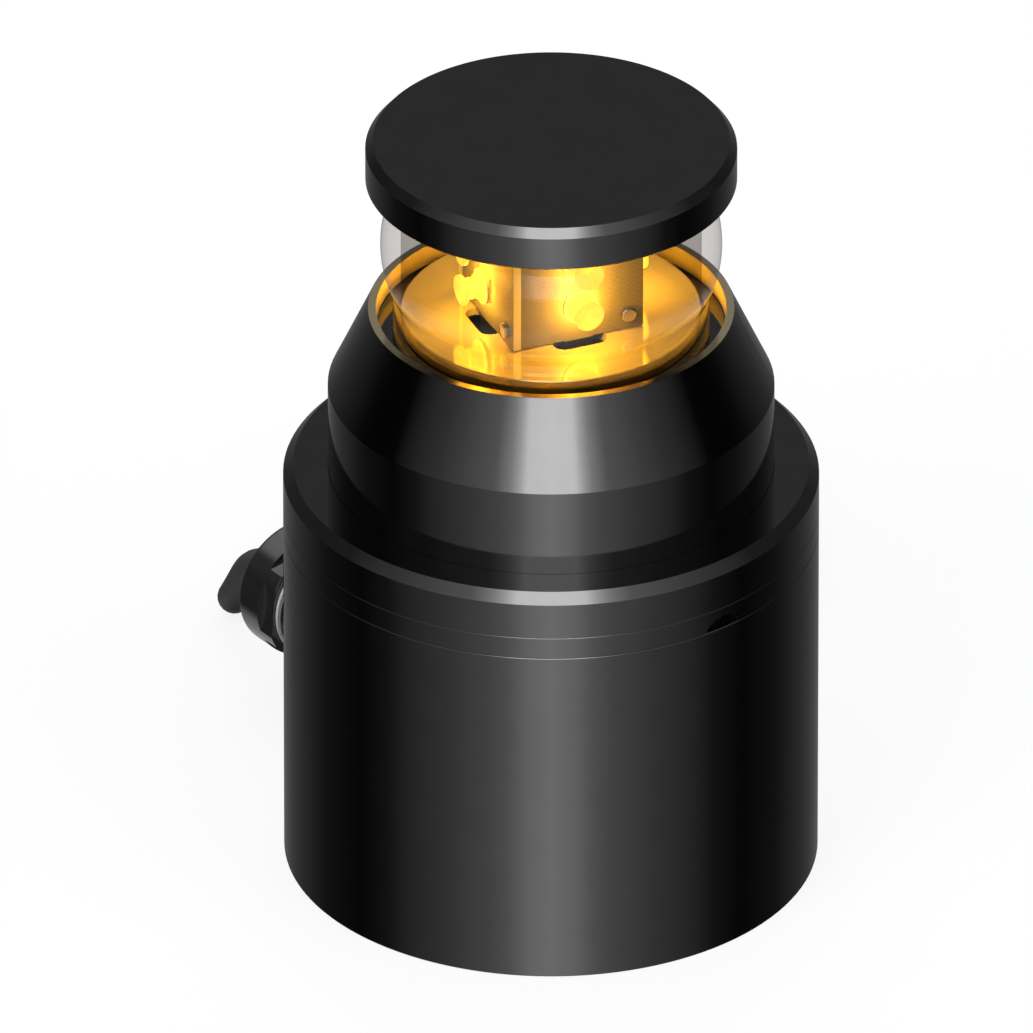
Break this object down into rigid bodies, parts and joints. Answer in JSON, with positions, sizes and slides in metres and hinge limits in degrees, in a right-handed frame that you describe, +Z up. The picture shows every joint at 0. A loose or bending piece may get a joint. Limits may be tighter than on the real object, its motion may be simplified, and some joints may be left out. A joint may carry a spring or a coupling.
{
  "type": "led strobe light",
  "caption": "Round black beacon on a turned base: a ring lens with amber LED tower between a cone and a flat cap, with a side cable gland and cable.",
  "frame": {"origin": "centre of the base's underside, on the light's vertical axis", "axes": "+Z up along the light's axis, -Y the front that the picture shows, the cable gland at the back left"},
  "size_m": [0.0904, 0.1642, 0.1208],
  "materials": {
    "black_metal": "black anodised, gloss",
    "bare_aluminium": "machined, bare",
    "reflector": "satin reflector",
    "clear_lens": "clear, polished",
    "amber_optic": "clear, lit amber",
    "led_base": "white, satin",
    "led_board": "dark solder mask",
    "driver_board": "green solder mask",
    "steel": "stainless",
    "black_rubber": "matte",
    "clear_seal": "white silicone",
    "slip_plastic": "white, slippery",
    "gland_black": "black, gloss",
    "cable_sheath": "black, satin",
    "core_red": "insulation",
    "ferrule": "tinned",
    "tie_black": "black",
    "capacitor_can": "can",
    "power_coil": "wound copper",
    "chip_black": "moulded",
    "terminal_green": "moulded"
  },
  "bodies": {
    "light": {"base_sleeve": "black_metal", "base_seal_ring": "black_rubber", "head_seal_ring": "black_rubber", "lamp_housing": "black_metal", "housing_plug": "black_metal", "housing_plug_seal": "black_rubber", "cable_grommet": "black_rubber", "reflector_deck": "reflector", "lens_ring": "clear_lens", "lens_seal_lower": "black_rubber", "lens_seal_upper": "black_rubber", "top_cap": "black_metal", "heat_sink_column": "bare_aluminium", "board_screws": "steel", "tie_rod": "steel", "tie_washer": "steel", "tie_nut": "steel", "led_leads": "core_red", "driver_board": "driver_board", "driver_standoffs": "steel", "driver_screws": "steel", "driver_coils": "power_coil", "driver_capacitors": "capacitor_can", "driver_chips": "chip_black", "terminal_block": "terminal_green", "gland_body": "gland_black", "gland_washer": "steel", "gland_seal": "black_rubber", "gland_o_ring": "clear_seal", "inner_cable": "cable_sheath", "inner_cores": "core_red", "cable": "cable_sheath", "cable_coil": "cable_sheath", "cable_tie": "tie_black", "cable_tail": "cable_sheath", "cable_cores": "core_red", "core_ferrules": "ferrule", "led_board_1": "led_board", "led_bodies_1": "led_base", "led_optics_1": "amber_optic", "led_board_2": "led_board", "led_bodies_2": "led_base", "led_optics_2": "amber_optic", "led_board_3": "led_board", "led_bodies_3": "led_base", "led_optics_3": "amber_optic", "led_board_4": "led_board", "led_bodies_4": "led_base", "led_optics_4": "amber_optic"},
    "lock_ring": {"lock_ring": "black_metal"},
    "collar_slip_ring": {"collar_slip_ring": "slip_plastic"},
    "collar": {"retaining_collar": "black_metal"},
    "gland_slip_ring": {"gland_slip_ring": "slip_plastic"},
    "gland_nut": {"gland_nut": "gland_black"}
  },
  "joints": [
    {"name": "lock_ring_turn", "type": "hinge", "parent": "light", "child": "lock_ring", "pos_m": [0, 0, 0.0567], "axis": [0, 0, 1], "range_deg": [-12, 0]},
    {"name": "collar_lift", "type": "slide", "parent": "light", "child": "collar_slip_ring", "axis": [0, 0, 1], "range_m": [0, 0.0015]},
    {"name": "collar_turn", "type": "hinge", "parent": "collar_slip_ring", "child": "collar", "pos_m": [0, 0, 0.062], "axis": [0, 0, 1], "range_deg": [0, 360]},
    {"name": "gland_nut_travel", "type": "slide", "parent": "light", "child": "gland_slip_ring", "axis": [-0.5878, 0.809, 0], "range_m": [0, 0.0015]},
    {"name": "gland_nut_turn", "type": "hinge", "parent": "gland_slip_ring", "child": "gland_nut", "pos_m": [-0.03633, 0.05, 0.0144], "axis": [-0.5878, 0.809, 0], "range_deg": [0, 360]}
  ],
  "couplings": [
    {"joint": "collar_lift", "follows": "collar_turn", "m_per_rad": 0.0002387},
    {"joint": "gland_nut_travel", "follows": "gland_nut_turn", "m_per_rad": 0.0002387}
  ]
}
